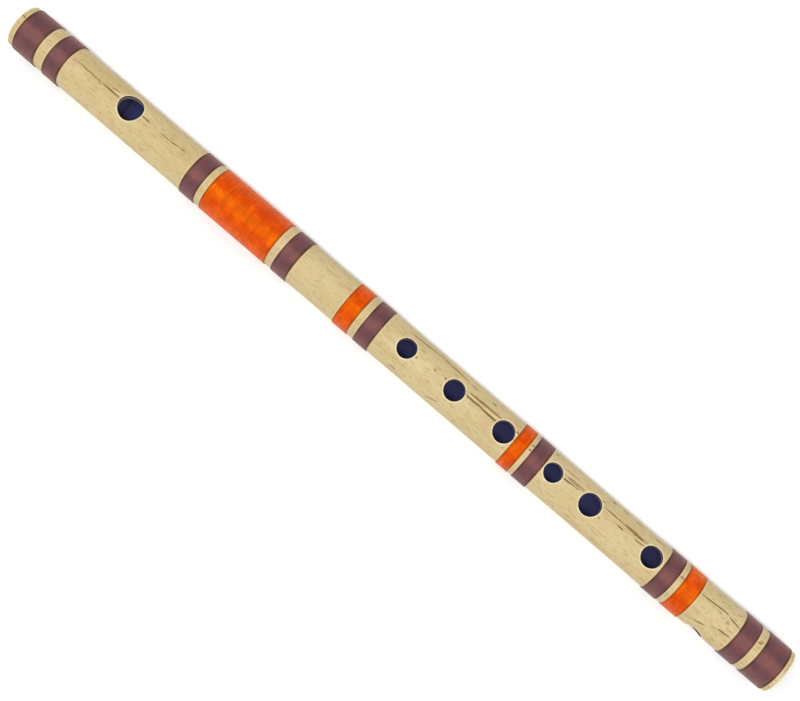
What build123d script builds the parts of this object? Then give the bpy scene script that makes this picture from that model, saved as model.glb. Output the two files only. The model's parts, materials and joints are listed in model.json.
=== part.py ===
"""A side-blown bamboo flute: one bamboo tube, stopped with a cork and bound with thread.

The flute lies as it is put down on a table. Its tube runs along X, from the head end at -X to
the open foot at +X, its finger holes face +Z, and its bindings rest on Z = 0. The origin is on
that surface, under the middle of the tube. Sizes are in millimetres.
"""

import os

from build123d import *

# The tube. Its bore and its wall give its outside.
BORE_RADIUS = 8.6
WALL = 3.0
END_ROUNDING = 0.8  # outer edge of both ends
MOUTH_CHAMFER = 0.5  # inner edge of both ends

# The layout, from hole to hole along the tube. The length of the tube is their sum.
HEAD_TO_BLOW_HOLE = 71.7
BLOW_HOLE_TO_FINGERS = 178.4
FINGER_SPACINGS = (30.2, 30.5, 30.1, 22.9, 37.5)
FINGERS_TO_SIDE_HOLE = 38.2
SIDE_HOLE_TO_FOOT = 43.5

# The holes. Each turns from +Z by an angle in degrees, positive towards -Y.
BLOW_HOLE_RADIUS = 6.3
BLOW_HOLE_ANGLE = -7.6
FINGER_HOLE_RADII = (4.8, 5.1, 5.3, 4.6, 5.45, 5.15)
FINGER_HOLE_ANGLES = (0.7, 3.5, 2.0, -1.1, -0.4, -0.8)
SIDE_HOLE_RADIUS = 4.8
SIDE_HOLE_ANGLE = 98.0
RIM_ROUNDING = 0.35  # outer edge of every hole

# The cork slides in a seat, which is a little wider than the bore and ends at a shoulder.
SEAT_STEP = 0.2  # radius of the seat, less the bore's
SHOULDER_TO_BLOW_HOLE = 1.4  # to the edge of the blow hole
CORK_TO_SHOULDER = 4.0
CORK_LENGTH = 20.0
CORK_CLEARANCE = 0.03
CORK_CHAMFER = 0.6

# The bindings: each is one layer of thread round the tube, and has its own width.
THREAD = 0.5
THREAD_ROUNDING = 0.22  # outer edges of a binding
HEAD_END_WIDTH = 14.3
HEAD_INNER_WIDTH = 10.1
LONG_BORDER_WIDTHS = (9.8, 9.9)
LONG_WIDTH = 43.2
UPPER_ORANGE_WIDTH = 9.8
UPPER_MAROON_WIDTH = 9.3
MIDDLE_MAROON_WIDTH = 9.1
LOWER_MAROON_WIDTH = 9.1
FOOT_INNER_WIDTH = 9.8
FOOT_END_WIDTH = 13.5

# The gaps beside the bindings. A gap at a hole runs to the rounding of the hole's rim.
HEAD_TO_BINDING = 3.2
HEAD_GAP = 5.3
LONG_BORDER_GAPS = (3.1, 3.7)
LONG_OFFSET = 2.7  # the long bindings stand this far past the middle of their room
UPPER_GAP = 3.4
UPPER_TO_FINGERS = 9.75
MIDDLE_GAP = 2.0
MIDDLE_TO_HOLES = 0.35  # at the third finger hole and at the fourth
LOWER_GAP = 2.5
LOWER_TO_FINGERS = 0.9
LOWER_TO_SIDE_HOLE = 4.9
FOOT_GAP = 3.6
BINDING_TO_FOOT = 2.5

TUBE_RADIUS = BORE_RADIUS + WALL
AXIS_HEIGHT = TUBE_RADIUS + THREAD

# Distances from the head end.
BLOW_HOLE = HEAD_TO_BLOW_HOLE
FINGER_HOLES = [BLOW_HOLE + BLOW_HOLE_TO_FINGERS + sum(FINGER_SPACINGS[:i]) for i in range(6)]
SIDE_HOLE = FINGER_HOLES[-1] + FINGERS_TO_SIDE_HOLE
TUBE_LENGTH = SIDE_HOLE + SIDE_HOLE_TO_FOOT
SHOULDER = BLOW_HOLE - BLOW_HOLE_RADIUS - SHOULDER_TO_BLOW_HOLE
CORK_FACE = SHOULDER - CORK_TO_SHOULDER


def across(distance):
    """The plane square to the tube at a distance from the head end. It faces the foot."""
    return Plane(
        origin=(distance - TUBE_LENGTH / 2, 0, AXIS_HEIGHT),
        x_dir=(0, 1, 0),
        z_dir=(1, 0, 0),
    )


def out_of_hole(distance, angle):
    """The plane square to a hole. It starts on the tube's axis and faces out of the hole."""
    return Plane(origin=across(distance).origin).rotated((angle, 0, 0))


def holes():
    """Distance from the head end, radius and angle of every hole in the wall."""
    fingers = zip(FINGER_HOLES, FINGER_HOLE_RADII, FINGER_HOLE_ANGLES)
    return [
        (BLOW_HOLE, BLOW_HOLE_RADIUS, BLOW_HOLE_ANGLE),
        *fingers,
        (SIDE_HOLE, SIDE_HOLE_RADIUS, SIDE_HOLE_ANGLE),
    ]


def make_tube():
    """The bamboo: bored from end to end, with a seat for the cork behind the blow hole."""
    with BuildPart() as bamboo_tube:
        with BuildSketch(across(0)):
            Circle(TUBE_RADIUS)
            Circle(BORE_RADIUS, mode=Mode.SUBTRACT)
        extrude(amount=TUBE_LENGTH)
        with BuildSketch(across(0)):
            Circle(BORE_RADIUS + SEAT_STEP)
        extrude(amount=SHOULDER, mode=Mode.SUBTRACT)

        end_edges = bamboo_tube.edges().filter_by(GeomType.CIRCLE).group_by(Axis.X)
        head_edges = end_edges[0].sort_by(SortBy.RADIUS)
        foot_edges = end_edges[-1].sort_by(SortBy.RADIUS)
        fillet([head_edges[-1], foot_edges[-1]], END_ROUNDING)
        chamfer([head_edges[0], foot_edges[0]], MOUTH_CHAMFER)

        for distance, radius, angle in holes():
            plane = out_of_hole(distance, angle)
            with BuildSketch(plane):
                Circle(radius)
            extrude(amount=TUBE_RADIUS, mode=Mode.SUBTRACT)
            rim = bamboo_tube.edges(Select.LAST).sort_by(Axis(plane.origin, plane.z_dir))[-1]
            fillet(rim, RIM_ROUNDING)
    return bamboo_tube


def make_cork():
    """The stopper: a plain cork that closes the bore behind the blow hole."""
    with BuildPart() as cork_stopper:
        with BuildSketch(across(CORK_FACE - CORK_LENGTH)):
            Circle(BORE_RADIUS + SEAT_STEP - CORK_CLEARANCE)
        extrude(amount=CORK_LENGTH)
        chamfer(cork_stopper.edges().filter_by(GeomType.CIRCLE), CORK_CHAMFER)
    return cork_stopper


def make_binding(start, width):
    """A binding: its thread lies close on the tube, and its last turns round off its edges."""
    with BuildPart() as binding:
        with BuildSketch(across(start)):
            Circle(TUBE_RADIUS + THREAD)
            Circle(TUBE_RADIUS, mode=Mode.SUBTRACT)
        extrude(amount=width)
        circles = binding.edges().filter_by(GeomType.CIRCLE)
        fillet(circles.sort_by(SortBy.RADIUS)[-2:], THREAD_ROUNDING)
    return binding


def rim(number):
    """How far the rounded rim of a finger hole reaches from the hole's centre, 0 the first."""
    return FINGER_HOLE_RADII[number] + RIM_ROUNDING


def bindings():
    """Name, distance from the head end and width of every binding, from the head to the foot."""
    rows = []

    def lay(name, start, width):
        rows.append((name, start, width))
        return start + width

    end = lay("head_end_binding", HEAD_TO_BINDING, HEAD_END_WIDTH)
    lay("head_inner_binding", end + HEAD_GAP, HEAD_INNER_WIDTH)

    upper_end = FINGER_HOLES[0] - rim(0) - UPPER_TO_FINGERS
    upper_middle = upper_end - UPPER_MAROON_WIDTH - UPPER_GAP
    upper_start = upper_middle - UPPER_ORANGE_WIDTH

    long_length = sum(LONG_BORDER_WIDTHS) + sum(LONG_BORDER_GAPS) + LONG_WIDTH
    room_start = BLOW_HOLE + BLOW_HOLE_RADIUS + RIM_ROUNDING
    start = (room_start + upper_start - long_length) / 2 + LONG_OFFSET
    end = lay("long_upper_border", start, LONG_BORDER_WIDTHS[0])
    end = lay("long_orange_binding", end + LONG_BORDER_GAPS[0], LONG_WIDTH)
    lay("long_lower_border", end + LONG_BORDER_GAPS[1], LONG_BORDER_WIDTHS[1])

    end = lay("upper_orange_binding", upper_start, UPPER_ORANGE_WIDTH)
    lay("upper_maroon_binding", end + UPPER_GAP, UPPER_MAROON_WIDTH)

    # The middle and the lower orange bindings fill the room that their neighbours leave.
    start = FINGER_HOLES[2] + rim(2) + MIDDLE_TO_HOLES
    maroon_start = FINGER_HOLES[3] - rim(3) - MIDDLE_TO_HOLES - MIDDLE_MAROON_WIDTH
    lay("middle_orange_binding", start, maroon_start - MIDDLE_GAP - start)
    lay("middle_maroon_binding", maroon_start, MIDDLE_MAROON_WIDTH)

    start = FINGER_HOLES[5] + rim(5) + LOWER_TO_FINGERS
    start = lay("lower_maroon_binding", start, LOWER_MAROON_WIDTH) + LOWER_GAP
    end = SIDE_HOLE - SIDE_HOLE_RADIUS - RIM_ROUNDING - LOWER_TO_SIDE_HOLE
    lay("lower_orange_binding", start, end - start)

    foot_end_start = TUBE_LENGTH - BINDING_TO_FOOT - FOOT_END_WIDTH
    lay("foot_inner_binding", foot_end_start - FOOT_GAP - FOOT_INNER_WIDTH, FOOT_INNER_WIDTH)
    lay("foot_end_binding", foot_end_start, FOOT_END_WIDTH)
    return rows


os.makedirs("parts", exist_ok=True)

bamboo_tube = make_tube()
bamboo_tube.part.label = "bamboo_tube"
export_step(bamboo_tube.part, "parts/bamboo_tube.step")

cork_stopper = make_cork()
cork_stopper.part.label = "cork_stopper"
export_step(cork_stopper.part, "parts/cork_stopper.step")

for name, start, width in bindings():
    binding = make_binding(start, width)
    binding.part.label = name
    export_step(binding.part, f"parts/{name}.step")
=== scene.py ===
# %% [markdown]
# # A bamboo flute, bound with thread
#
# The flute is one length of bamboo with a blow hole, six finger holes and a side hole. A cork
# stops its bore behind the blow hole, and thirteen bindings of maroon and orange thread keep the
# cane from splitting. The CAD model gives every size here. Blender gives the cane its skin, the
# bindings their turns of thread, and each piece its finish.
#
# The frame comes first. Its objects lie in metres, where the flute lies on a table: the tube runs
# along X, the head end is at -X, and the finger holes face +Z.

# %% Load the frame
import json
import math

import bmesh
import bpy
import numpy as np
from mathutils import Matrix, Quaternion, Vector


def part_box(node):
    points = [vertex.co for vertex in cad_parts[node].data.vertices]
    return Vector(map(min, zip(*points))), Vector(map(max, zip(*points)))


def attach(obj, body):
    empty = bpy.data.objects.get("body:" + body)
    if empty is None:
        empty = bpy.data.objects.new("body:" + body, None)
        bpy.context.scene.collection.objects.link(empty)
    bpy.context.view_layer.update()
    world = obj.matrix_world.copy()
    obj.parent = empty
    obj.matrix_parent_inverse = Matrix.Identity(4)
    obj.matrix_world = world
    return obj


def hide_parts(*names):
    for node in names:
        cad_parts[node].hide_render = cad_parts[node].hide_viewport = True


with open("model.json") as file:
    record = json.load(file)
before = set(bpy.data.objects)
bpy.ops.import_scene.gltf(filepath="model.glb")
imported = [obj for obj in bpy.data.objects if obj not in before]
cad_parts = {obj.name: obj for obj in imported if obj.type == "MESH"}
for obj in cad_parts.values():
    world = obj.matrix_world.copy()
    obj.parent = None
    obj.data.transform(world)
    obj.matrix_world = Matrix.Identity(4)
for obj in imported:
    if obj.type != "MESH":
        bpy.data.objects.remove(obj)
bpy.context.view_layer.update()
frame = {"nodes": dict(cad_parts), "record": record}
MM = 0.001

# %% [markdown]
# ## The sizes of the tube
#
# The record and the CAD nodes' boxes hold what the new meshes need: where the tube starts and
# ends, how thick it is, where its bore runs and where the cork's seat ends. Reading them keeps
# the finished meshes on the CAD model when somebody changes a size there.

# %% Read the tube's sizes
low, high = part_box("bamboo_tube")
HEAD, FOOT = low.x, high.x
AXIS = (low.z + high.z) / 2
SKIN = (high.z - low.z) / 2

mounts = {mount["name"]: mount for mount in frame["record"]["mounts"]}
foot_bore = mounts["foot_bore"]
BORE = foot_bore["dims"]["r_mm"] * MM
SHOULDER = foot_bore["pos_m"][0] - foot_bore["dims"]["length_mm"] * MM

cork_low, cork_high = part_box("cork_stopper")
CORK = (cork_high.z - cork_low.z) / 2
CORK_CLEARANCE = 0.03 * MM
SEAT = CORK + CORK_CLEARANCE
MOUTH = FOOT - foot_bore["pos_m"][0]  # the chamfer at each end of the bore
END_ROUNDING = 0.8 * MM
print(f"tube {(FOOT - HEAD) / MM:.1f} mm long, {2 * SKIN / MM:.1f} mm across")
print(f"bore {2 * BORE / MM:.1f} mm across, cork's seat {2 * SEAT / MM:.1f} mm across")


def on_tube(along, radius, angle):
    """A point at a distance along X, a radius from the tube's axis, and a turn from +Z to -Y."""
    return along, -radius * math.sin(angle), AXIS + radius * math.cos(angle)


# %% [markdown]
# ## The sizes of the holes
#
# The record states a box for each hole, and its middle gives the hole's place and the way that it
# faces. The radius is measured on the CAD tube: between its skin and its bore, the only points
# near that place are on the wall of the hole.

# %% Measure the holes
RIM_ROUNDING = 0.35 * MM
WALL_SEARCH = 9 * MM  # further than any hole's radius, and nearer than the next hole
SKIN_MARGIN, BORE_MARGIN = 0.3 * MM, 0.1 * MM  # leave out the points of the skin and the bore
tube_points = np.array([vertex.co for vertex in frame["nodes"]["bamboo_tube"].data.vertices])
tube_depths = SKIN - np.hypot(tube_points[:, 1], tube_points[:, 2] - AXIS)


def measure_hole(name, box):
    """(name, X, turn from +Z to -Y, radius) of one hole in the wall."""
    middle = (Vector(box[0]) + Vector(box[1])) / 2
    turn = math.atan2(-middle.y, middle.z - AXIS)
    facing = tube_points[:, 1:] @ np.array([-math.sin(turn), math.cos(turn)])
    in_wall = (tube_depths > SKIN_MARGIN) & (tube_depths < SKIN - SEAT - BORE_MARGIN)
    near = (abs(tube_points[:, 0] - middle.x) < WALL_SEARCH) & (facing > AXIS * math.cos(turn))
    radius = abs(tube_points[in_wall & near, 0] - middle.x).max()
    return name, middle.x, turn, radius


openings = frame["record"]["physics"]["openings"]
holes = [measure_hole(o["name"], o["box_m"]) for o in openings if "hole" in o["name"]]
for name, along, turn, radius in holes:
    place = f"{(along - HEAD) / MM:.1f} mm from the head, {math.degrees(turn):.1f} degrees"
    print(f"{name}: {place}, {2 * radius / MM:.1f} mm across")

# %% [markdown]
# ## A way to write node trees
#
# A finish or a Geometry Nodes tree can be drawn by hand in the node editor. Written out, it is
# easier to read as arithmetic, so one small class wraps a socket: an expression on it adds the
# Math nodes that work it out. Every other node comes from `Graph.node`.

# %% Sockets that do arithmetic
class Value:
    """An output socket of a node tree. Arithmetic on it adds Math nodes to the tree."""

    def __init__(self, graph, socket):
        self.graph = graph
        self.socket = socket

    def math(self, operation, *others):
        return self.graph.math(operation, self, *others)

    def __add__(self, other):
        return self.math("ADD", other)

    def __sub__(self, other):
        return self.math("SUBTRACT", other)

    def __mul__(self, other):
        return self.math("MULTIPLY", other)

    def __truediv__(self, other):
        return self.math("DIVIDE", other)

    def __rsub__(self, other):
        return self.graph.math("SUBTRACT", other, self)

    __radd__ = __add__
    __rmul__ = __mul__

    def least(self, other):
        return self.math("MINIMUM", other)


class Graph:
    """A node tree that is being built."""

    def __init__(self, tree):
        self.tree = tree

    def node(self, kind, settings=None, inputs=None):
        """Adds a node, gives it its settings, then links or sets its sockets by name or number."""
        made = self.tree.nodes.new(kind)
        for name, setting in (settings or {}).items():
            setattr(made, name, setting)
        for name, value in (inputs or {}).items():
            if isinstance(value, Value):
                self.tree.links.new(value.socket, made.inputs[name])
            else:
                made.inputs[name].default_value = value
        return made

    def out(self, kind, settings=None, inputs=None, output=0):
        """One output of a new node, ready for arithmetic."""
        return Value(self, self.node(kind, settings, inputs).outputs[output])

    def math(self, operation, *values):
        return self.out("ShaderNodeMath", {"operation": operation}, dict(enumerate(values)))

    def vector(self, x=0.0, y=0.0, z=0.0):
        return self.out("ShaderNodeCombineXYZ", inputs={"X": x, "Y": y, "Z": z})

    def vector_math(self, operation, *values, output=0):
        settings = {"operation": operation}
        return self.out("ShaderNodeVectorMath", settings, dict(enumerate(values)), output)

    def noise(self, vector, detail=2.0, roughness=0.5):
        """Smooth noise around 0.5, one wave to each unit of the vector."""
        inputs = {"Vector": vector, "Scale": 1.0, "Detail": detail, "Roughness": roughness}
        return self.out("ShaderNodeTexNoise", inputs=inputs)

    def fade(self, value, start, end):
        """0 where the value is at start and 1 where it is at end, with smooth ends."""
        settings = {"interpolation_type": "SMOOTHSTEP", "clamp": False}
        return self.out("ShaderNodeMapRange", settings, {0: value, 1: start, 2: end})

    def mix(self, factor, first, second):
        """A colour between two colours."""
        inputs = {0: factor, 6: first, 7: second}
        return self.out("ShaderNodeMix", {"data_type": "RGBA"}, inputs, output=2)


# %% [markdown]
# ## Finishes on a tube
#
# Everything here is wound or drawn along one tube, so each finish needs two directions on it: how
# far a point is from the head end, and how far round the tube. Both come from Object coordinates,
# because each object sits at the origin and its place is in its mesh. They are in millimetres,
# which keeps the size of each mark readable.

# %% Start a finish
def srgb(red, green, blue):
    """The colour that a screen shows for these three numbers from 0 to 255."""
    return (*(((c / 255 + 0.055) / 1.055) ** 2.4 for c in (red, green, blue)), 1)


class Finish(Graph):
    """A material, with the place of each point of it along and round the tube in mm."""

    def __init__(self, name):
        self.material = bpy.data.materials.new(name)
        self.material.use_nodes = True
        super().__init__(self.material.node_tree)
        self.tree.nodes.clear()
        place = self.out("ShaderNodeTexCoord", output=3)
        split = self.node("ShaderNodeSeparateXYZ", inputs={0: place})
        x, y, z = (Value(self, output) for output in split.outputs)
        self.along = (x - HEAD) * (1 / MM)
        self.y = y * (1 / MM)
        self.z = (z - AXIS) * (1 / MM)
        self.turn = self.math("ARCTAN2", self.y * -1, self.z)
        self.round = self.turn * (SKIN / MM)

    def grain(self, along, across, detail=2.0, roughness=0.5):
        """Noise in streaks: the length and the width of one wave are given in mm."""
        narrow = 1 / across
        place = self.vector(self.along * (1 / along), self.y * narrow, self.z * narrow)
        return self.noise(place, detail, roughness)

    def finish(self, height, relief, **surface):
        """Joins the surface's values, and a relief in mm, to the shader and the output."""
        bump = self.out(
            "ShaderNodeBump", inputs={"Strength": 1.0, "Distance": relief * MM, "Height": height}
        )
        inputs = {name.replace("_", " "): value for name, value in surface.items()}
        shader = self.out("ShaderNodeBsdfPrincipled", inputs={**inputs, "Normal": bump})
        self.node("ShaderNodeOutputMaterial", inputs={"Surface": shader})
        print(f"{self.material.name}: {len(self.tree.nodes)} nodes")
        return self.material


# %% [markdown]
# ## The bamboo
#
# The real tube is one length of cane between two of its joints. It is almost round and almost
# straight, its holes are burnt or cut through the wall and sanded a little at the rim, and its
# ends are sawn and rounded off. A Boolean would cut the holes but leave long thin faces that shade
# badly, so the mesh is laid out: rings of points along the tube, which open out round
# each hole and go down its wall to the bore.
#
# The lines along the tube are closest over the two bands that hold the holes. Two rings stand
# almost together at the shoulder of the cork's seat, so that the bore narrows in a true step and
# leaves the cork its full travel.

# %% Lay out the lines on the tube
TOP_BAND = math.radians(62)  # each side of +Z, wide enough for the blow hole inside the bore
SIDE_BAND_END = math.radians(134)
TOP_LINES, SIDE_LINES, BACK_LINES = 28, 16, 36
PATCH_MARGIN = 2.6 * MM
PATCH_LINES = 20
OPEN_SPACING = 1.9 * MM
SHOULDER_STEP = 0.01 * MM

turns = np.concatenate([
    np.linspace(-TOP_BAND, TOP_BAND, TOP_LINES, endpoint=False),
    np.linspace(TOP_BAND, SIDE_BAND_END, SIDE_LINES, endpoint=False),
    np.linspace(SIDE_BAND_END, 2 * math.pi - TOP_BAND, BACK_LINES, endpoint=False),
])


def patch_lines(turn):
    """The first and the last line of the band that a hole lies in."""
    return (0, TOP_LINES) if abs(turn) < TOP_BAND else (TOP_LINES, TOP_LINES + SIDE_LINES)


stations, patches = [], []
end = HEAD + END_ROUNDING
for hole in sorted(holes, key=lambda hole: hole[1]):
    _, along, turn, radius = hole
    reach = radius + PATCH_MARGIN
    start = max(along - reach, SHOULDER)
    count = max(1, round((start - end) / OPEN_SPACING))
    stations.extend(np.linspace(end, start, count, endpoint=False))
    if start == SHOULDER:
        stations.append(SHOULDER - SHOULDER_STEP)
    patches.append((hole, len(stations), *patch_lines(turn)))
    stations.extend(np.linspace(start, along + reach, PATCH_LINES, endpoint=False))
    end = along + reach
stations.extend(np.linspace(end, FOOT - END_ROUNDING, round((FOOT - end) / OPEN_SPACING)))
stations = np.array(stations)
print(len(stations), "rings of", len(turns), "points")

# %% [markdown]
# Cane is never turned true. A few slow waves, each a whole number of times round the tube so that
# they close, lift and lower the skin by less than a tenth of a millimetre. Sanding dishes the skin
# beside each hole.

# %% Shape the skin
WAVES = (  # height in mm, waves along the tube, waves round it, start
    (0.035, 1.3, 2, 0.4),
    (0.025, 3.1, 3, 2.1),
    (0.020, 6.7, 2, 4.0),
    (0.012, 15.0, 5, 1.2),
)
DISH_DEPTH, DISH_WIDTH = 0.07 * MM, 1.3 * MM


def skin_radius(along, turn):
    """The radius of the cane's skin at a place on the tube."""
    share = (along - HEAD) / (FOOT - HEAD)
    radius = SKIN
    for height, waves, times, start in WAVES:
        along_wave = math.sin(2 * math.pi * waves * share + start)
        radius += height * MM * along_wave * math.cos(times * turn + start)
    for _, hole_along, hole_turn, hole_radius in holes:
        if abs(along - hole_along) < 3 * hole_radius:
            gap = math.hypot(along - hole_along, SKIN * (turn - hole_turn)) - hole_radius
            radius -= DISH_DEPTH * math.exp(-((max(gap, 0) / DISH_WIDTH) ** 2))
    return radius


def bore_radius(along):
    """The radius of the bore: wider in the cork's seat, which ends at its shoulder."""
    return SEAT if along < SHOULDER else BORE


# %% [markdown]
# Each point also carries two marks that the finish reads. `cut` says how far a blade or sandpaper
# has opened the cane: 1 at the ends, and a little less on the rims. `sealed` is 1 where the bore's
# dark sealing coat lies: in the bore and on the walls of the holes.

# %% Collect points and faces
class Shell:
    """A closed mesh that is being built from rings of points."""

    def __init__(self):
        self.points, self.cuts, self.sealed, self.faces = [], [], [], []

    def point(self, place, cut=0.0, sealed=0.0):
        self.points.append(place)
        self.cuts.append(cut)
        self.sealed.append(sealed)
        return len(self.points) - 1

    def ring(self, along, radius, cut=0.0, sealed=0.0):
        """A full ring round the tube's axis."""
        return [self.point(on_tube(along, radius, turn), cut, sealed) for turn in turns]

    def bridge(self, first, second, skip=()):
        """Faces between two closed rings, but for the places to skip."""
        count = len(first)
        for i in range(count):
            if i not in skip:
                j = (i + 1) % count
                self.faces.append((first[i], first[j], second[j], second[i]))

    def mesh(self, name):
        mesh = bpy.data.meshes.new(name)
        mesh.from_pydata(self.points, [], self.faces)
        for mark, values in (("cut", self.cuts), ("sealed", self.sealed)):
            mesh.attributes.new(mark, "FLOAT", "POINT").data.foreach_set("value", values)
        mesh.shade_smooth()
        return mesh


tube = Shell()


def inside_patch(ring, line):
    """Whether a point of the grid falls inside the room that is left for a hole."""
    return any(
        start < ring < start + PATCH_LINES and first < line < last
        for _, start, first, last in patches
    )


def skipped_lines(ring):
    """The faces between this ring and the next that a hole's patch takes the place of."""
    skipped = set()
    for _, start, first, last in patches:
        if start <= ring < start + PATCH_LINES:
            skipped.update(range(first, last))
    return skipped


outer, inner = [], []
for ring, along in enumerate(stations):
    open_lines = [not inside_patch(ring, line) for line in range(len(turns))]
    outer.append([
        tube.point(on_tube(along, skin_radius(along, turn), turn)) if is_open else None
        for turn, is_open in zip(turns, open_lines)
    ])
    inner.append([
        tube.point(on_tube(along, bore_radius(along), turn), sealed=1.0) if is_open else None
        for turn, is_open in zip(turns, open_lines)
    ])
for ring in range(len(stations) - 1):
    tube.bridge(outer[ring], outer[ring + 1], skipped_lines(ring))
    tube.bridge(inner[ring + 1], inner[ring], skipped_lines(ring))

# %% [markdown]
# The ends are sawn square. Their outer edge is rounded, and a knife has broken the edge of the
# bore.

# %% Close the ends
ROUNDING_STEPS = 5
FACE_STEPS = 3


def end_rings(end, inward, bore):
    """The rings over one end, from the skin to the bore. inward is the way into the tube."""
    rings = []
    for step in range(1, ROUNDING_STEPS + 1):
        bend = step / ROUNDING_STEPS * math.pi / 2
        along = end + inward * END_ROUNDING * (1 - math.sin(bend))
        rings.append(tube.ring(along, SKIN - END_ROUNDING * (1 - math.cos(bend)), cut=1.0))
    for step in range(1, FACE_STEPS + 1):
        share = step / FACE_STEPS
        radius = (1 - share) * (SKIN - END_ROUNDING) + share * (bore + MOUTH)
        rings.append(tube.ring(end, radius, cut=1.0))
    rings.append(tube.ring(end + inward * MOUTH, bore, cut=1.0))
    return rings


foot_rings = end_rings(FOOT, -1, BORE)
head_rings = end_rings(HEAD, 1, SEAT)
for first, second in zip([outer[-1], *foot_rings], [*foot_rings, inner[-1]]):
    tube.bridge(first, second)
for first, second in zip([inner[0], *reversed(head_rings)], [*reversed(head_rings), outer[0]]):
    tube.bridge(first, second)

# %% [markdown]
# A hole is a stack of rings with as many points as the edge of its patch. They go from the patch
# in to a sanded band, round over the rim, down the wall, and out again to the patch inside the bore.
# The holes are opened with a hot rod and a file, so a rim strays from a true circle by a few
# hundredths of a millimetre.

# %% Cut the holes
PATCH_RINGS = (0.30, 0.55, 0.75, 0.90)  # shares of the way from the patch's edge to the rim
RIM_STEPS = 4
WALL_STEPS = 3
WALL_START = 0.06  # share of the wall above its first ring, which keeps it off the rim's last
COAT_FROM = 1  # the step of the rim where the sealing coat starts
FILE_MARKS = 0.03 * MM
SANDED_WIDTH = 0.8 * MM
SANDED_FROM = 0.3  # share of that width, from the rim, that is sanded bare
SANDED_CUT, RIM_CUT = 0.7, 0.8


def patch_edge(start, first, last):
    """(ring, line) of each point round a patch, once round."""
    rings = range(start, start + PATCH_LINES)
    lines = range(first, last)
    return [
        *((ring, first) for ring in rings),
        *((start + PATCH_LINES, line) for line in lines),
        *((ring + 1, last) for ring in reversed(rings)),
        *((start, line + 1) for line in reversed(lines)),
    ]


def cut_hole(hole, start, first, last):
    """Opens one hole from the skin to the bore."""
    _, hole_along, hole_turn, radius = hole
    edge = patch_edge(start, first, last)
    line_turn = [turns[line] if line < len(turns) else turns[0] + 2 * math.pi for _, line in edge]
    ways = [
        math.atan2((turn - hole_turn) * SKIN, stations[ring] - hole_along)
        for (ring, _), turn in zip(edge, line_turn)
    ]
    start_wave = hole_along / MM  # differs from hole to hole
    strays = [
        FILE_MARKS * (math.sin(2 * way + start_wave) + 0.6 * math.sin(3 * way + 2 * start_wave))
        for way in ways
    ]

    def on_wall(way, stray, reach, distance):
        """A point at a reach from the hole's own axis and a distance from the tube's axis."""
        reach += stray
        turn = hole_turn + math.asin(reach * math.sin(way) / distance)
        return hole_along + reach * math.cos(way), turn

    def patch_ring(share, reach, distance, radius_at, **marks):
        """A ring part of the way from the patch's edge to the hole."""
        made = []
        for (ring, _), turn, way, stray in zip(edge, line_turn, ways, strays):
            rim_along, rim_turn = on_wall(way, stray, reach, distance)
            along = stations[ring] + share * (rim_along - stations[ring])
            place = turn + share * (rim_turn - turn)
            made.append(tube.point(on_tube(along, radius_at(along, place), place), **marks))
        return made

    def hole_ring(reach, distance, radius_at=None, **marks):
        """A ring round the hole's own axis: on its wall, or on the skin where radius_at is given."""
        made = []
        for way, stray in zip(ways, strays):
            along, turn = on_wall(way, stray, reach, distance)
            radius = radius_at(along, turn) if radius_at else distance
            made.append(tube.point(on_tube(along, radius, turn), **marks))
        return made

    top = SKIN - DISH_DEPTH
    rim_reach = radius + RIM_ROUNDING
    sanded_reach = rim_reach + SANDED_WIDTH
    rings = [[outer[ring][line] for ring, line in edge]]
    rings += [patch_ring(share, sanded_reach, top, skin_radius) for share in PATCH_RINGS]
    rings.append(hole_ring(sanded_reach, top, skin_radius))
    rings.append(hole_ring(rim_reach + SANDED_FROM * SANDED_WIDTH, top, skin_radius, cut=SANDED_CUT))
    for step in range(RIM_STEPS + 1):
        bend = step / RIM_STEPS * math.pi / 2
        reach = rim_reach - RIM_ROUNDING * math.sin(bend)
        marks = {"cut": RIM_CUT, "sealed": float(step >= COAT_FROM)}
        rings.append(hole_ring(reach, top - RIM_ROUNDING * (1 - math.cos(bend)), **marks))
    floor = top - RIM_ROUNDING
    for step in range(WALL_STEPS + 1):
        share = max(step / WALL_STEPS, WALL_START)
        rings.append(hole_ring(radius, floor + share * (BORE - floor), sealed=1.0))
    for share in reversed(PATCH_RINGS):
        rings.append(patch_ring(share, radius, BORE, lambda along, _: bore_radius(along), sealed=1.0))
    rings.append([inner[ring][line] for ring, line in edge])
    for upper, lower in zip(rings, rings[1:]):
        tube.bridge(lower, upper)


for patch in patches:
    cut_hole(*patch)

bamboo = bpy.data.objects.new("bamboo_cane", tube.mesh("bamboo_cane"))
bpy.context.scene.collection.objects.link(bamboo)
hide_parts("bamboo_tube")
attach(bamboo, "flute")


def report(piece):
    """Prints a closed mesh's triangles and volume, which is positive where it faces outwards."""
    checked = bmesh.new()
    checked.from_mesh(piece.data)
    loose = sum(not edge.is_contiguous for edge in checked.edges)
    triangles = sum(len(face.verts) - 2 for face in checked.faces)
    volume = checked.calc_volume() / MM**3
    print(f"{piece.name}: {triangles} triangles, {volume:.0f} mm3, {loose} open edges")
    checked.free()


report(bamboo)
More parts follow.
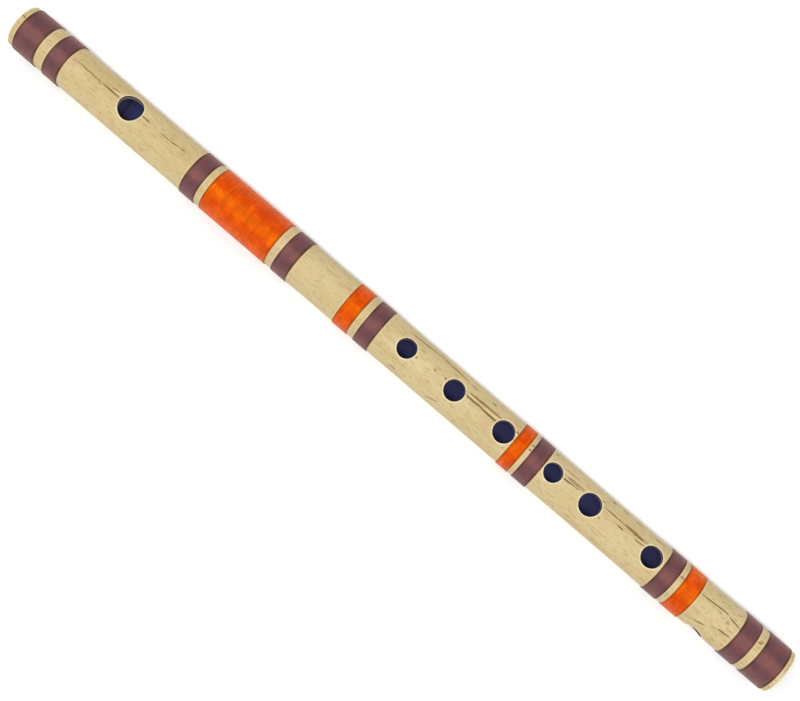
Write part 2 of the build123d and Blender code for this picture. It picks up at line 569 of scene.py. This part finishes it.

# %% [markdown]
# ## The bindings
#
# Each binding is one length of thread, wound turn beside turn and then sealed with a thin coat of
# wax. A sleeve with lines painted on it would show a flat edge and no shadow between the turns, so
# the thread is really wound: Geometry Nodes bend a line into a helix as long as the binding is
# wide, and sweep a round thread along it. One tree winds all thirteen bindings, and the sizes of
# each are the tree's inputs.
#
# Hand winding shows: the turns lean a little, and they don't lie quite evenly. The tree also marks
# the outermost turns, as `edge`, and the thread's finish paints shade on them, for the shadow that
# falls at the ends of the binding.

# %% Build the winding tree
WINDING_INPUTS = {
    "Start": "NodeSocketFloat",
    "Width": "NodeSocketFloat",
    "Turns": "NodeSocketInt",
    "Steps per Turn": "NodeSocketInt",
    "Core Radius": "NodeSocketFloat",
    "Thread Radius": "NodeSocketFloat",
    "Axis Height": "NodeSocketFloat",
    "First Turn": "NodeSocketFloat",
    "Lean": "NodeSocketFloat",
    "Unevenness": "NodeSocketFloat",
    "Material": "NodeSocketMaterial",
}
THREAD_SIDES = 8
# turns from each end of a binding over which the painted shade fades out
SHADED_EDGE_TURNS = 2.6
WANDER_ALONG, WANDER_ROUND = 900, 140  # waves to the metre in the turns' unevenness


def build_winding():
    """A node tree that winds one layer of thread round a tube along X."""
    tree = bpy.data.node_groups.new("thread_winding", "GeometryNodeTree")
    for name, kind in WINDING_INPUTS.items():
        tree.interface.new_socket(name, in_out="INPUT", socket_type=kind)
    tree.interface.new_socket("Geometry", in_out="OUTPUT", socket_type="NodeSocketGeometry")
    graph = Graph(tree)
    group = graph.node("NodeGroupInput")
    size = {name: Value(graph, group.outputs[name]) for name in WINDING_INPUTS}

    steps = size["Turns"] * size["Steps per Turn"]
    line = graph.out("GeometryNodeCurvePrimitiveLine")
    count = {"Curve": line, "Count": steps + 1}
    line = graph.out("GeometryNodeResampleCurve", {"mode": "COUNT"}, count)
    share = graph.out("GeometryNodeInputIndex") / steps
    angle = share * size["Turns"] * (2 * math.pi) + size["First Turn"]

    run = size["Width"] - size["Thread Radius"] * 2
    along = size["Start"] + size["Thread Radius"] + share * run
    along = along + graph.math("SINE", angle) * size["Lean"]
    radius = size["Core Radius"] + size["Thread Radius"]
    y = graph.math("SINE", angle) * radius * -1
    z = graph.math("COSINE", angle) * radius
    noise_place = graph.vector(along * WANDER_ALONG, y * WANDER_ROUND, z * WANDER_ROUND)
    wander = graph.noise(noise_place) - 0.5
    place = graph.vector(along + wander * size["Unevenness"], y, z + size["Axis Height"])

    helix = graph.out("GeometryNodeSetPosition", inputs={"Geometry": line, "Position": place})
    # The outermost turns are marked: 1 at the binding's ends and 0 a few turns in. The thread's
    # finish paints shade there.
    from_end = graph.math("MINIMUM", share, 1 - share) * size["Turns"]
    edge = graph.math("MAXIMUM", 1 - from_end * (1 / SHADED_EDGE_TURNS), 0.0)
    mark = {"Geometry": helix, "Name": "edge", "Value": edge}
    helix = graph.out("GeometryNodeStoreNamedAttribute", {"data_type": "FLOAT"}, mark)
    section = graph.out(
        "GeometryNodeCurvePrimitiveCircle",
        inputs={"Resolution": THREAD_SIDES, "Radius": size["Thread Radius"]},
    )
    swept = {"Curve": helix, "Profile Curve": section, "Fill Caps": True}
    thread = graph.out("GeometryNodeCurveToMesh", inputs=swept)
    thread = graph.out("GeometryNodeSetShadeSmooth", inputs={"Geometry": thread})
    thread = graph.out("GeometryNodeRealizeInstances", inputs={"Geometry": thread})
    finished = {"Geometry": thread, "Material": size["Material"]}
    thread = graph.out("GeometryNodeSetMaterial", inputs=finished)
    graph.node("NodeGroupOutput", inputs={"Geometry": thread})
    print(f"{tree.name}: {len(tree.nodes)} nodes")
    return tree


winding = build_winding()

# %% [markdown]
# The thread takes two finishes, maroon and orange. Both are twisted, dyed a little unevenly and
# waxed, so one function makes both from their colours. The twist is a set of slanted ridges, a
# whole number of them round the tube. The dye changes from turn to turn and more slowly round the
# tube.

# %% Finish the thread
THREAD_PITCH = 0.47  # mm from turn to turn, a little under the thread's own thickness
TWISTS_ROUND = 118
THREAD_ROUGHNESS = 0.26
THREAD_IOR = 2.3


def finish_thread(name, painted_edge_shade, deep, plain, bright, shine):
    """A waxed, twisted thread in three shades of one colour, with painted shade in its twist's
    grooves and on the outermost turns, and the colour of its shine.
    """
    finish = Finish(name)
    pitch_wave = finish.along * (2 * math.pi / THREAD_PITCH)
    twist = finish.math("SINE", finish.turn * TWISTS_ROUND + pitch_wave)
    turns_shade = finish.grain(0.8, 9.0, detail=2.0)
    cloud = finish.grain(5.0, 4.0, detail=4.0, roughness=0.65)
    # The twist term lightens the colour a little on its ridges and darkens it in its grooves: painted
    # shade.
    shade = turns_shade * 0.5 + cloud * 0.6 + twist * 0.03
    colour = finish.mix(finish.fade(shade, 0.36, 0.58), deep, plain)
    colour = finish.mix(finish.fade(shade, 0.52, 0.78), colour, bright)
    edge = finish.out("ShaderNodeAttribute", {"attribute_name": "edge"}, output=2)
    # Painted shade on the outermost turns, for the shadow that falls at the binding's ends.
    colour = finish.mix(finish.fade(edge, 0.0, 0.5) * 0.95, colour, painted_edge_shade)
    dust = finish.grain(0.6, 0.6, detail=3.0)
    return finish.finish(
        twist + dust,
        0.02,
        Base_Color=colour,
        Roughness=dust * 0.2 + THREAD_ROUGHNESS,
        IOR=THREAD_IOR,
        Specular_Tint=shine,
    )


maroon_thread = finish_thread(
    "waxed_maroon_thread",
    painted_edge_shade=srgb(14, 5, 9),
    deep=srgb(50, 45, 75),
    plain=srgb(81, 53, 73),
    bright=srgb(116, 61, 62),
    shine=srgb(255, 178, 136),
)
orange_thread = finish_thread(
    "waxed_orange_thread",
    painted_edge_shade=srgb(158, 26, 2),
    deep=srgb(187, 20, 2),
    plain=srgb(217, 40, 2),
    bright=srgb(246, 100, 2),
    shine=srgb(255, 210, 36),
)

# %% [markdown]
# The record says which bindings are maroon and which orange, and each CAD sleeve's box says where
# its thread goes and how thick it is.

# %% Wind the bindings
STEPS_PER_TURN = 72
LEANS = (  # mm, one for each binding from the head end
    0.10, -0.06, 0.04, 0.12, -0.08, 0.05, 0.09, -0.03, 0.07, -0.10, 0.06, 0.11, -0.05,
)
UNEVENNESS = 0.10 * MM

slots = {part["node"]: part["material_slot"] for part in frame["record"]["subparts"]}
thread_finishes = {"maroon_thread": maroon_thread, "orange_thread": orange_thread}


def bake(carrier, name):
    """The result of an object's modifiers as a plain mesh object, in place of the carrier."""
    graph = bpy.context.evaluated_depsgraph_get()
    mesh = bpy.data.meshes.new_from_object(carrier.evaluated_get(graph))
    bpy.data.objects.remove(carrier)
    mesh.name = name
    piece = bpy.data.objects.new(name, mesh)
    bpy.context.scene.collection.objects.link(piece)
    return piece


def wind(node, lean, first_turn):
    """Winds the thread that stands for one of the CAD model's sleeves."""
    start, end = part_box(node)
    thread_radius = ((end.z - start.z) / 2 - SKIN) / 2
    width = end.x - start.x
    sizes = {
        "Start": start.x,
        "Width": width,
        "Turns": round((width - 2 * thread_radius) / (THREAD_PITCH * MM)),
        "Steps per Turn": STEPS_PER_TURN,
        "Core Radius": SKIN,
        "Thread Radius": thread_radius,
        "Axis Height": AXIS,
        "First Turn": first_turn,
        "Lean": lean * MM,
        "Unevenness": UNEVENNESS,
        "Material": thread_finishes[slots[node]],
    }
    name = node.replace("binding", "thread").replace("border", "border_thread")
    carrier = bpy.data.objects.new(name + "_carrier", bpy.data.meshes.new(name))
    bpy.context.scene.collection.objects.link(carrier)
    modifier = carrier.modifiers.new("Winding", "NODES")
    modifier.node_group = winding
    for socket in winding.interface.items_tree:
        if socket.in_out == "INPUT":
            modifier[socket.identifier] = sizes[socket.name]
    piece = bake(carrier, name)
    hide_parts(node)
    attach(piece, "flute")
    report(piece)


bound = [node for node in slots if slots[node] in thread_finishes]
bound.sort(key=lambda node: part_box(node)[0].x)
for node, lean in zip(bound, LEANS):
    wind(node, lean, first_turn=math.pi + 4 * lean)

# %% [markdown]
# ## The cork
#
# The stopper is natural cork, cut to a cylinder with broken edges. Its bark pores leave pits of
# every size. They are dented into the mesh, never raised, because the cork has to slide in its
# seat with hardly any room.

# %% Cut the cork
CORK_CHAMFER = 0.6 * MM
PIT_DEPTH = 0.45 * MM
PIT_COUNT = 46
CORK_SIDES = 96
CORK_RINGS = 44
FACE_SHARES = (0.15, 0.4, 0.65, 0.85, 1.0)  # rings on each end of the cork
pit_noise = np.random.default_rng(7)
pits = [
    (
        pit_noise.uniform(cork_low.x, cork_high.x),
        pit_noise.uniform(0, 2 * math.pi),
        pit_noise.uniform(0.4, 1.3) * MM,
    )
    for _ in range(PIT_COUNT)
]


def pit_depth(along, turn):
    """How deep the cork's side is pitted at a place."""
    depth = 0.0
    for pit_along, pit_turn, width in pits:
        off = (turn - pit_turn + math.pi) % (2 * math.pi) - math.pi
        gap = math.hypot(along - pit_along, CORK * off) / width
        depth = max(depth, width * 0.5 * math.exp(-gap * gap * 2))
    return min(depth, PIT_DEPTH)


def cut_cork():
    """The cork as a closed mesh: a middle point on each end, and rings between them."""
    length = cork_high.x - cork_low.x
    side = length - 2 * CORK_CHAMFER
    face = CORK - CORK_CHAMFER
    profile = [(0, share * face) for share in FACE_SHARES]
    profile += [(CORK_CHAMFER + share * side, CORK) for share in np.linspace(0, 1, CORK_RINGS)]
    profile += [(length, share * face) for share in reversed(FACE_SHARES)]
    made = bmesh.new()
    rings = []
    for along, radius in profile:
        ring = []
        for turn in np.linspace(0, 2 * math.pi, CORK_SIDES, endpoint=False):
            dent = pit_depth(cork_low.x + along, turn) if radius == CORK else 0.0
            ring.append(made.verts.new(on_tube(cork_low.x + along, radius - dent, turn)))
        rings.append(ring)
    for first, second in zip(rings, rings[1:]):
        for i in range(CORK_SIDES):
            j = (i + 1) % CORK_SIDES
            made.faces.new((first[i], first[j], second[j], second[i]))
    for ring, along in ((reversed(rings[0]), cork_low.x), (rings[-1], cork_high.x)):
        middle = made.verts.new((along, 0, AXIS))
        ring = list(ring)
        for i, point in enumerate(ring):
            made.faces.new((middle, point, ring[(i + 1) % CORK_SIDES]))
    mesh = bpy.data.meshes.new("tuning_cork")
    made.to_mesh(mesh)
    made.free()
    mesh.shade_smooth()
    return mesh


cork = bpy.data.objects.new("tuning_cork", cut_cork())
bpy.context.scene.collection.objects.link(cork)
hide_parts("cork_stopper")
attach(cork, "stopper")
report(cork)

# %% [markdown]
# Cork is made of packed cells with darker, woody pores between them. Voronoi cells give the
# grain, and noise picks out the pores.

# %% Finish the cork
def finish_cork():
    finish = Finish("natural_cork")
    place = finish.vector(finish.along, finish.y, finish.z)
    grain = finish.out("ShaderNodeTexVoronoi", inputs={"Vector": place, "Scale": 1.3}, output=0)
    patches = finish.grain(3.0, 2.2, detail=4.0)
    pores = finish.fade(finish.grain(1.6, 0.7, detail=3.0), 0.58, 0.68)
    colour = finish.mix(finish.fade(patches, 0.35, 0.65), srgb(168, 118, 74), srgb(204, 160, 110))
    colour = finish.mix(grain * 0.5, colour, srgb(150, 100, 60))
    colour = finish.mix(pores, colour, srgb(84, 50, 28))
    return finish.finish(grain * 0.6 - pores, 0.12, Base_Color=colour, Roughness=pores * 0.1 + 0.8)


cork.data.materials.append(finish_cork())

# %% [markdown]
# ## The cane's finish
#
# Bamboo is a bundle of straight fibres under a hard, slightly waxy skin. The pattern is drawn from
# the largest mark to the smallest: clouds of warmer and paler cane, flecks a few millimetres long,
# fine fibres, and the dark marks that this cane carries between its holes.
#
# Most of those marks run from one hole towards the next, where the hot rod split the fibres, so
# each is placed from the middle of a hole. Grooves are open in the skin, and stains only colour it.
# The pale marks beside the cracks are painted glints, where light catches their edges.

# %% Place the marks of the cane
# Each row is in mm: where the mark starts and ends along the tube, with the head end negative, how
# far it lies to the far side at its start and at its end, and its width.
GROOVES = {
    "blow_hole": (
        (-18.5, -7.5, 0.1, 0.1, 0.9),
        (6.0, 12.0, 0.5, 0.3, 0.8),
        (26.0, 30.5, 0.1, 0.4, 0.7),
        (-71.0, -69.0, 0.2, -0.2, 0.7),
    ),
    "finger_hole_2": (
        (5.0, 16.0, 2.0, 1.9, 1.2),
        (14.0, 26.0, 1.9, 1.5, 1.2),
    ),
    "finger_hole_3": (
        (4.0, 6.4, 4.0, 4.2, 0.9),
        (14.5, 15.5, 1.5, 1.5, 0.9),
    ),
    "finger_hole_4": (
        (5.0, 10.5, 1.0, 1.3, 1.1),
        (-4.0, -3.0, 10.0, 10.0, 1.0),
    ),
    "finger_hole_5": (
        (16.0, 19.0, 1.1, 0.8, 0.9),
        (16.0, 32.0, 3.6, 3.0, 0.8),
        (8.0, 9.5, 10.5, 10.5, 1.2),
        (14.0, 17.5, 11.5, 10.5, 0.9),
    ),
    "finger_hole_6": (
        (-16.0, -10.0, 10.0, 10.5, 0.8),
        (-4.0, 2.0, 9.5, 10.5, 0.7),
        (16.2, 17.8, 2.1, 2.1, 0.9),
        (28.0, 45.5, 2.1, 3.0, 0.8),
        (45.0, 52.5, 2.4, 1.2, 0.8),
    ),
}
STAINS = {
    "blow_hole": (
        (-37.0, -17.5, 0.5, 0.0, 0.6),
        (-13.5, -9.0, 1.8, 2.2, 0.6),
        (19.0, 26.5, 0.0, 0.2, 0.6),
        (32.0, 34.5, 0.5, 0.8, 0.6),
    ),
    "finger_hole_1": (
        (-3.5, 16.0, 8.2, 9.8, 1.0),
        (15.0, 33.0, 9.8, 8.6, 1.0),
        (-1.5, 1.5, -13.0, -13.0, 0.9),
        (6.2, 6.6, -0.5, -0.5, 0.9),
    ),
    "finger_hole_2": (
        (-13.5, -13.0, 1.4, 1.4, 1.0),
        (-7.2, -6.4, 1.5, 1.5, 1.0),
        (5.0, 27.0, 4.0, 4.6, 1.2),
        (5.5, 8.5, 8.3, 8.3, 0.9),
        (-9.8, -2.7, -13.0, -10.5, 0.8),
    ),
    "finger_hole_3": (
        (-12.5, -10.5, 8.3, 8.3, 0.9),
        (14.5, 15.5, 4.2, 4.2, 0.8),
    ),
    "finger_hole_4": (
        (10.0, 14.5, 1.3, 1.5, 0.7),
        (5.0, 18.0, 3.2, 3.4, 0.6),
        (5.0, 17.5, 2.6, 2.4, 0.6),
        (1.0, 13.0, 5.6, 5.9, 0.5),
    ),
    "finger_hole_5": (
        (5.5, 17.0, 3.8, 3.5, 0.7),
        (18.0, 32.0, 4.3, 3.7, 0.7),
        (26.0, 32.0, 1.0, 1.6, 0.8),
        (2.5, 5.0, 5.8, 5.8, 0.7),
        (6.7, 7.0, -2.1, -2.1, 0.9),
    ),
    "finger_hole_6": (
        (45.0, 51.0, -5.5, -5.0, 1.1),
        (34.0, 39.0, -10.0, -9.0, 0.9),
        (62.6, 64.3, 2.4, 2.4, 0.9),
        (63.2, 65.2, 3.5, 3.5, 0.7),
    ),
}
# Painted glints: pale marks beside the cracks, where light catches their edges.
PAINTED_GLINTS = {
    "blow_hole": ((-12.0, -7.0, 1.3, 1.8, 1.3),),
    "finger_hole_2": ((6.0, 11.5, 3.0, 3.1, 0.8), (17.0, 25.0, 2.8, 3.0, 0.9)),
    "finger_hole_3": ((4.8, 6.3, 2.8, 2.8, 1.1),),
    "finger_hole_6": ((-9.0, -5.8, 1.7, 1.6, 1.0),),
}
hole_middles = {name: ((along - HEAD) / MM, turn * SKIN / MM) for name, along, turn, _ in holes}


def strokes_of(marks):
    """(first point, last point, width) of each mark on the unrolled skin, in mm."""
    strokes = []
    for hole, rows in marks.items():
        along, around = hole_middles[hole]
        for start, end, first_across, last_across, width in rows:
            first = Vector((along + start, around - first_across, 0))
            last = Vector((along + end, around - last_across, 0))
            strokes.append((first, last, width))
    return strokes


for kind, marks in (("grooves", GROOVES), ("stains", STAINS), ("chips", PAINTED_GLINTS)):
    print(len(strokes_of(marks)), kind)


def stroke_distance(finish, place, stroke):
    """How far a place on the skin is from the middle of a stroke. 1 is its edge."""
    first, last, width = stroke
    way = last - first
    local = finish.out(
        "ShaderNodeMapping",
        {"vector_type": "TEXTURE"},
        {
            "Vector": place,
            "Location": (first + last) / 2,
            "Rotation": (0, 0, math.atan2(way.y, way.x)),
            "Scale": ((way.length + width) / 2, width / 2, 1),
        },
    )
    return finish.vector_math("LENGTH", local, output=1)


def drawn(finish, place, ragged, marks):
    """1 on these marks and 0 off them, with ragged edges."""
    strokes = strokes_of(marks)
    nearest = stroke_distance(finish, place, strokes[0])
    for stroke in strokes[1:]:
        nearest = nearest.least(stroke_distance(finish, place, stroke))
    return finish.fade(nearest + ragged, 1.15, 0.7)


# %% [markdown]
# The skin beside each binding was scraped clean of glue and stayed paler, so the finish also needs
# the distance to the nearest binding.

# %% Measure to the nearest binding
def binding_gap(finish):
    """How far a place is from the nearest binding's edge, in mm along the tube."""
    gaps = []
    for node in bound:
        start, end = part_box(node)
        middle = ((start.x + end.x) / 2 - HEAD) / MM
        gaps.append(finish.math("ABSOLUTE", finish.along - middle) - (end.x - start.x) / 2 / MM)
    nearest = gaps[0]
    for gap in gaps[1:]:
        nearest = nearest.least(gap)
    return nearest


# %% Finish the bamboo
def finish_bamboo():
    finish = Finish("polished_bamboo")
    clouds = finish.grain(40, 10, detail=3.0)
    blush = finish.grain(9, 4.0, detail=5.0, roughness=0.65)
    green = finish.grain(22, 5.0, detail=4.0, roughness=0.6)
    flecks = finish.grain(3.2, 0.8, detail=3.0, roughness=0.6)
    streaks = finish.grain(7.0, 0.6, detail=4.0, roughness=0.6)
    fibres = finish.grain(40, 0.35, detail=2.0)
    colour = finish.mix(finish.fade(clouds, 0.3, 0.7), srgb(190, 168, 114), srgb(199, 180, 131))
    pale = finish.fade(finish.along, 110, 190)
    colour = finish.mix(pale * 0.25, colour, srgb(200, 186, 144))
    colour = finish.mix(finish.fade(green, 0.52, 0.72) * 0.6, colour, srgb(178, 164, 104))
    colour = finish.mix(finish.fade(blush, 0.50, 0.70) * 0.7, colour, srgb(192, 154, 108))
    foot = finish.fade(finish.along, 425, 450) * 0.35  # the foot is the most flecked
    colour = finish.mix(finish.fade(flecks, 0.53, 0.68) * (foot + 0.55), colour, srgb(152, 118, 74))
    colour = finish.mix(finish.fade(streaks, 0.53, 0.72) * 0.5, colour, srgb(172, 142, 90))
    colour = finish.mix(finish.fade(fibres, 0.50, 0.75) * 0.3, colour, srgb(156, 126, 78))
    edges = finish.fade(binding_gap(finish), 0.75, 0.3)
    colour = finish.mix(edges * 0.6, colour, srgb(214, 194, 152))

    wander = finish.grain(9.0, 30.0, detail=3.0) - 0.5
    fray = finish.grain(1.0, 0.4, detail=2.0) - 0.5
    place = finish.vector(finish.along, finish.round + wander * 0.9 + fray * 0.3)
    ragged = (finish.grain(2.0, 0.5, detail=3.0) - 0.5) * 0.9
    grooves = drawn(finish, place, ragged, GROOVES)
    # Painted glints: the cane is paler beside the cracks, where light catches their edges.
    colour = finish.mix(drawn(finish, place, ragged, PAINTED_GLINTS) * 0.6, colour, srgb(222, 200, 144))
    colour = finish.mix(drawn(finish, place, ragged, STAINS) * 0.95, colour, srgb(126, 94, 46))
    colour = finish.mix(grooves * 0.9, colour, srgb(104, 74, 34))

    cut = finish.out("ShaderNodeAttribute", {"attribute_name": "cut"}, output=2)
    sealed = finish.out("ShaderNodeAttribute", {"attribute_name": "sealed"}, output=2)
    sealed = finish.fade(sealed, 0.35, 0.65)
    bundles = finish.out(
        "ShaderNodeTexVoronoi",
        inputs={"Vector": finish.vector(finish.along * 0.05, finish.y, finish.z), "Scale": 1.9},
    )
    dots = finish.fade(bundles, 0.34, 0.18)
    end_grain = finish.mix(dots * 0.7, srgb(228, 212, 176), srgb(160, 124, 80))
    colour = finish.mix(cut, colour, end_grain)
    from_axis = finish.vector_math("LENGTH", finish.vector(0.0, finish.y, finish.z), output=1)
    wall = finish.fade(from_axis, BORE / MM + 0.1, BORE / MM + 0.5)
    coat = finish.mix(wall, srgb(76, 80, 134), srgb(140, 126, 122))
    rim = finish.fade(from_axis, SKIN / MM - 0.9, SKIN / MM - 0.5)
    coat = finish.mix(rim, coat, srgb(14, 10, 14))
    colour = finish.mix(sealed, colour, coat)

    height = fibres * -0.35 + flecks * -0.3 + blush * 0.5 - grooves * 0.8 - cut * dots * 0.6
    return finish.finish(
        height,
        0.08,
        Base_Color=colour,
        Roughness=flecks * 0.16 + 0.44 + cut * 0.2 + sealed * 0.35,
    )


bamboo.data.materials.append(finish_bamboo())

# %% [markdown]
# ## The stage
#
# The flute lies on a plain white floor under a long soft light, which stands a little to the
# player's side and draws one broad highlight along the tube. The sky fills the shadows.

# %% Light the flute
def light(name, place, target, width, length, watts):
    """A soft area light that faces a target, with its length along X."""
    lamp = bpy.data.lights.new(name, "AREA")
    lamp.shape = "RECTANGLE"
    lamp.size = length
    lamp.size_y = width
    lamp.energy = watts
    holder = bpy.data.objects.new(name, lamp)
    holder.location = place
    way = Vector(target) - Vector(place)
    side = Vector((1, 0, 0))
    up = (-way).cross(side).normalized()
    holder.rotation_euler = Matrix((side, up, -way.normalized())).transposed().to_euler()
    bpy.context.scene.collection.objects.link(holder)


middle = Vector(((HEAD + FOOT) / 2, 0, AXIS))
KEY_TURN = math.radians(14)
KEY_DISTANCE = 1.0
SKY_STRENGTH = 0.70
key_place = on_tube(middle.x, KEY_DISTANCE, KEY_TURN)
light("key_softbox", key_place, middle, width=0.12, length=3.0, watts=12.4)

world = bpy.data.worlds.new("white_room")
world.use_nodes = True
sky = world.node_tree.nodes["Background"]
sky.inputs["Color"].default_value = (1, 1, 1, 1)
sky.inputs["Strength"].default_value = SKY_STRENGTH
bpy.context.scene.world = world
bpy.context.scene.view_settings.view_transform = "Standard"

# %% Lay the floor
FLOOR_SIZE = 6.0
floor = bpy.data.objects.new("floor", bpy.data.meshes.new("floor"))
half = FLOOR_SIZE / 2
corners = [(-half, -half, 0), (half, -half, 0), (half, half, 0), (-half, half, 0)]
floor.data.from_pydata(corners, [], [(0, 1, 2, 3)])
bpy.context.scene.collection.objects.link(floor)
paper = Finish("white_paper")
paper_grain = paper.grain(0.6, 0.6, detail=4.0)
white = (0.94, 0.94, 0.94, 1)
floor.data.materials.append(paper.finish(paper_grain, 0.01, Base_Color=white, Roughness=0.9))

# %% [markdown]
# ## The camera
#
# The camera looks down on the flute from the player's side. It is turned about its own line of
# sight, so that the flute falls from the head end at the upper left to the foot at the lower
# right.

# %% Place the camera
LOOK_AT = middle + Vector((6.0, -1.0, 0.0)) * MM
EYE = LOOK_AT + Vector((49.2, -129.8, 667.9)) * MM
FALL = math.radians(40.58)  # how steeply the flute falls across the picture
LENS = 63.4
SENSOR = 36.0

sight = (LOOK_AT - EYE).normalized()
tube_way = Vector((1, 0, 0))
tube_way = (tube_way - tube_way.dot(sight) * sight).normalized()
right = Quaternion(sight, -FALL) @ tube_way
up = right.cross(sight)

camera = bpy.data.cameras.new("camera")
camera.lens = LENS
camera.sensor_width = SENSOR
camera_holder = bpy.data.objects.new("camera", camera)
facing = Matrix((right, up, -sight)).transposed().to_4x4()
camera_holder.matrix_world = Matrix.Translation(EYE) @ facing
bpy.context.scene.collection.objects.link(camera_holder)
bpy.context.scene.camera = camera_holder
print(f"camera {(LOOK_AT - EYE).length:.3f} m away")
